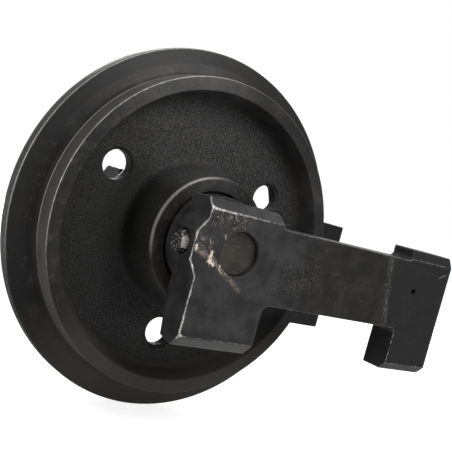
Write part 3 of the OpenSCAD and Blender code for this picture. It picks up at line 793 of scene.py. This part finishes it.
def outerEdges(edges, s):                       # those that get rounded
    soft = []
    for edge in edges:
        middle = (edge.verts[0].co + edge.verts[1].co) / 2
        onBoss = middle.x < s["bossFront"] and abs(middle.z) < s["bossHalf"]
        if abs(middle.y) > s["innerSide"] and not onBoss:
            soft.append(edge)
    return soft


def sliced(bm, step, cutGap):                   # cuts faces along a grid of planes
    for axis in range(3):
        low = min(v.co[axis] for v in bm.verts)
        high = max(v.co[axis] for v in bm.verts)
        normal = Vector((0, 0, 0))
        normal[axis] = 1
        for cut in range(1, math.floor((high - low) / step)):
            bmesh.ops.bisect_plane(bm, geom=bm.verts[:] + bm.edges[:] + bm.faces[:], dist=cutGap,
                                   plane_co=normal * (low + cut * step), plane_no=normal)


def makeBracket(side, s):
    node = side + "_bracket"
    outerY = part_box(node)[0].y if side == "near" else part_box(node)[1].y
    bm = bareCopy(node, s)
    edges = sharpEdges(bm, s["edgeAngle"])
    worn = edgeTree(edges, s["sample"])
    bmesh.ops.bevel(bm, geom=outerEdges(edges, s), offset=s["edgeRound"], offset_type="OFFSET",
                    segments=s["roundSteps"], profile=0.5, affect="EDGES", clamp_overlap=False)
    sliced(bm, s["slice"], s["cutGap"])
    mesh = bpy.data.meshes.new(node + "Forging")
    bm.to_mesh(mesh)
    bm.free()
    gaps = [worn.find(v.co)[2] for v in mesh.vertices]
    mesh.attributes.new("edgeGap", "FLOAT", "POINT").data.foreach_set("value", gaps)
    mesh.materials.append(bracketPaint(side + "BracketPaint", outerY, s["look"]))
    piece = finished(side + "BracketForging", mesh)
    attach(piece, "carrier")
    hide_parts(node)
    print(side, "bracket made,", len(mesh.polygons), "faces")


for side in ("near", "far"):
    makeBracket(side, bracketPlan)


# Dried grease: crumbs scattered on the near bracket's face and the bolt head

greasePlan = dict(
    density=32000.0, seed=7, small=0.22 * mm, large=0.95 * mm, flatness=0.35,
    sizePower=2.5, narrowing=0.8, lumpScale=0.9, sharpAngle=80,
    faceY=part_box("near_bracket")[0].y, boltX=-62.5 * mm,
    facePatches=[                               # corners (x, z) on the face, in millimetres
        [(-41, 26), (2, 26), (2, 36), (-41, 36)],
        [(-52, -4), (-28, -14), (-28, -6), (-52, 3)],
        [(-30, -14), (8, -37), (8, -32), (-30, -7)],
        [(-51, -3), (-35, -6), (-37, 9), (-50, 9)],
    ],
    boltPatches=[                               # corners (y, z) on the bolt's end, in millimetres
        [(-110, -7), (-94, -7), (-94, 7), (-110, 7)],
    ],
    look=dict(
        lumpSize=4 * mm, fineSize=0.8 * mm,
        dark=(0.095, 0.078, 0.06, 1), pale=(0.46, 0.42, 0.36, 1), fleck=(0.09, 0.075, 0.055, 1),
        rough=0.5, bumpDepth=0.1 * mm,
    ),
)


def crumbTree(s):
    desk, given = newTree("greaseCrumbs", {
        "Density": "Float", "Seed": "Int", "Small": "Float", "Large": "Float",
        "Flatness": "Float", "Finish": "Material",
    })
    spots = desk.node("GeometryNodeDistributePointsOnFaces", None,
                      {"Mesh": given, "Density": given.at("Density"), "Seed": given.at("Seed")})
    crumb = desk.node("GeometryNodeMeshIcoSphere", None, {"Radius": 1.0, "Subdivisions": 1})
    lumpy = desk.node("ShaderNodeTexNoise", None,
                      {"Scale": s["lumpScale"], "Vector": desk.node("GeometryNodeInputPosition")})
    bulge = desk.node("ShaderNodeVectorMath", {"operation": "SCALE"},
                      {0: desk.node("GeometryNodeInputNormal"), "Scale": lumpy - 0.5})
    uneven = desk.node("GeometryNodeSetPosition", None, {"Geometry": crumb, "Offset": bulge})
    share = desk.node("FunctionNodeRandomValue", {"data_type": "FLOAT"}, {"Seed": given.at("Seed")}, out=1)
    size = given.at("Small") + (given.at("Large") - given.at("Small")) * share ** s["sizePower"]
    flat = desk.node("ShaderNodeCombineXYZ", None,
                     {"X": size, "Y": size * s["narrowing"], "Z": size * given.at("Flatness")})
    crumbs = desk.node("GeometryNodeInstanceOnPoints", None,
                       {"Points": spots, "Instance": uneven, "Rotation": spots.at("Rotation"), "Scale": flat})
    whole = desk.node("GeometryNodeRealizeInstances", None, {"Geometry": crumbs})
    coated = desk.node("GeometryNodeSetMaterial", None, {"Geometry": whole, "Material": given.at("Finish")})
    desk.node("NodeGroupOutput", None, {0: coated})
    return desk.tree


def driedGrease(look):
    grease = Finish("driedGrease")
    lump = grease.cloud(grease.spot, look["lumpSize"], 3)
    fine = grease.cloud(grease.spot, look["fineSize"], 3)
    tan = grease.blend(grease.ease(lump, 0.45, 0.68), look["dark"], look["pale"])
    return grease.close(
        Base_Color=grease.blend(grease.ease(fine, 0.5, 0.7) * 0.6, tan, look["fleck"]),
        Roughness=look["rough"] + lump * 0.2,
        Normal=grease.bump(fine, look["bumpDepth"]),
    )


def makeGrease(s):
    corners = []
    for patch in s["facePatches"]:
        corners += [(x * mm, s["faceY"], z * mm) for x, z in patch]
    for patch in s["boltPatches"]:
        corners += [(s["boltX"], y * mm, z * mm) for y, z in patch]
    mesh = bpy.data.meshes.new("greasePatches")
    mesh.from_pydata(corners, [], [tuple(range(first, first + 4)) for first in range(0, len(corners), 4)])
    patches = bpy.data.objects.new("greasePatches", mesh)
    scene.collection.objects.link(patches)
    crumbs = grown("greaseCrumbs", patches, crumbTree(s), {
        "Density": s["density"], "Seed": s["seed"], "Small": s["small"], "Large": s["large"],
        "Flatness": s["flatness"], "Finish": driedGrease(s["look"]),
    }, s["sharpAngle"])
    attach(crumbs, "carrier")
    print("grease made,", len(crumbs.data.polygons), "faces")


makeGrease(greasePlan)


# Shaft, bolts, seals and bushes keep the solids' forms and get their finishes

shaftLook = dict(
    filmSize=14 * mm, markSize=0.9 * mm, smearSize=2.0 * mm,
    dark=(0.017, 0.0137, 0.0107, 1), pale=(0.035, 0.0288, 0.0229, 1), smear=(0.085, 0.076, 0.063, 1),
    metallic=0.15, rough=0.42, gloss=0.25, bumpDepth=0.06 * mm,
)


def turnedSteel(look):                          # lathe marks under a brown film of oil
    steel = Finish("turnedShaftSteel")
    filmAndShade = steel.cloud(steel.spot, look["filmSize"], 4)
    rings = steel.marks(steel.radius(), look["markSize"])
    smear = steel.cloud(steel.stretch(steel.spot, (0.2, 1, 1), turn=(0, -0.2, 0)), look["smearSize"], 3)
    brown = steel.blend(steel.ease(filmAndShade, 0.35, 0.65), look["dark"], look["pale"])
    return steel.close(
        Base_Color=steel.blend(steel.ease(smear, 0.58, 0.75) * 0.5, brown, look["smear"]),
        Metallic=look["metallic"],
        Roughness=look["rough"] + (rings - 0.5) * 0.25,
        Specular_IOR_Level=look["gloss"],
        Normal=steel.bump(rings + smear * 0.3, look["bumpDepth"]),
    )


boltLook = dict(
    flatY=111.5 * mm, seatX=-54.5 * mm,         # the outer flat of the head is painted pale as a highlight
    grimeSize=3.0 * mm, fleckSize=1.9 * mm,
    dark=(0.008, 0.008, 0.008, 1), pale=(0.045, 0.044, 0.042, 1),
    paintedHighlight=(0.30, 0.295, 0.285, 1), fleck=(0.62, 0.60, 0.57, 1),
    metallic=0.15, rough=0.38, gloss=0.2, bumpDepth=0.4 * mm,
)


def boltSteel(look):                            # grimy steel with flecks of grease and a painted highlight on one flat
    steel = Finish("greasyBoltSteel")
    grime = steel.cloud(steel.spot, look["grimeSize"], 4, 0.65)
    fleck = steel.cloud(steel.spot, look["fleckSize"], 3, 0.6)
    # painted highlight: the head's outer flat is paler, as if lit
    flat = steel.ease(abs(steel.y), look["flatY"] - 0.5 * mm, look["flatY"] - 0.2 * mm)
    flat = flat * steel.ease(steel.x, look["seatX"] + 0.2 * mm, look["seatX"])
    dark = steel.blend(steel.ease(grime, 0.4, 0.65), look["dark"], look["pale"])
    paintedHighlight = steel.blend(flat * steel.ease(grime, 0.25, 0.55, 0.6, 1), dark, look["paintedHighlight"])
    pale = steel.ease(fleck, 0.575, 0.64) * 0.9
    return steel.close(
        Base_Color=steel.blend(pale, paintedHighlight, look["fleck"]),
        Metallic=look["metallic"] + flat * 0.35 - pale * 0.15,
        Roughness=look["rough"] + grime * 0.2,
        Specular_IOR_Level=look["gloss"],
        Normal=steel.bump(grime + fleck * 0.9, look["bumpDepth"]),
    )


sealLook = dict(
    hazeSize=12 * mm, markSize=0.4 * mm,
    dark=(0.42, 0.42, 0.43, 1), pale=(0.58, 0.58, 0.58, 1),
    rough=0.22, bumpDepth=0.01 * mm,
)


def lappedSteel(look):
    steel = Finish("lappedSealSteel")
    rings = steel.marks(steel.radius(), look["markSize"])
    haze = steel.cloud(steel.spot, look["hazeSize"], 3)
    return steel.close(
        Base_Color=steel.blend(haze, look["dark"], look["pale"]),
        Metallic=1.0,
        Roughness=look["rough"] + rings * 0.16,
        Normal=steel.bump(rings, look["bumpDepth"]),
    )


bushLook = dict(
    patinaSize=9 * mm, markSize=0.6 * mm,
    dark=(0.42, 0.27, 0.11, 1), pale=(0.60, 0.42, 0.20, 1),
    rough=0.28, bumpDepth=0.015 * mm,
)


def bushBronze(look):
    bronze = Finish("turnedBronze")
    rings = bronze.marks(bronze.y, look["markSize"])
    patina = bronze.cloud(bronze.spot, look["patinaSize"], 4)
    return bronze.close(
        Base_Color=bronze.blend(patina, look["dark"], look["pale"]),
        Metallic=1.0,
        Roughness=look["rough"] + rings * 0.2,
        Normal=bronze.bump(rings, look["bumpDepth"]),
    )


rubberLook = dict(
    bloomSize=7 * mm, grainSize=0.7 * mm,
    dark=(0.012, 0.012, 0.012, 1), pale=(0.030, 0.030, 0.031, 1),
    rough=0.55, bumpDepth=0.03 * mm,
)


def sealRubber(look):
    rubber = Finish("nitrileRubber")
    bloom = rubber.cloud(rubber.spot, look["bloomSize"], 4)
    grain = rubber.cloud(rubber.spot, look["grainSize"], 2)
    return rubber.close(
        Base_Color=rubber.blend(bloom, look["dark"], look["pale"]),
        Roughness=look["rough"] + bloom * 0.2,
        Normal=rubber.bump(grain, look["bumpDepth"]),
    )


slotFinish = dict(
    shaft_steel=turnedSteel(shaftLook), bolt_steel=boltSteel(boltLook), seal_steel=lappedSteel(sealLook),
    bush_bronze=bushBronze(bushLook), seal_rubber=sealRubber(rubberLook),
)
for part in frame["record"]["subparts"]:
    kept = frame["nodes"][part["node"]]
    if part["material_slot"] in slotFinish:
        for place in kept.material_slots:
            place.material = slotFinish[part["material_slot"]]
print("finishes set")
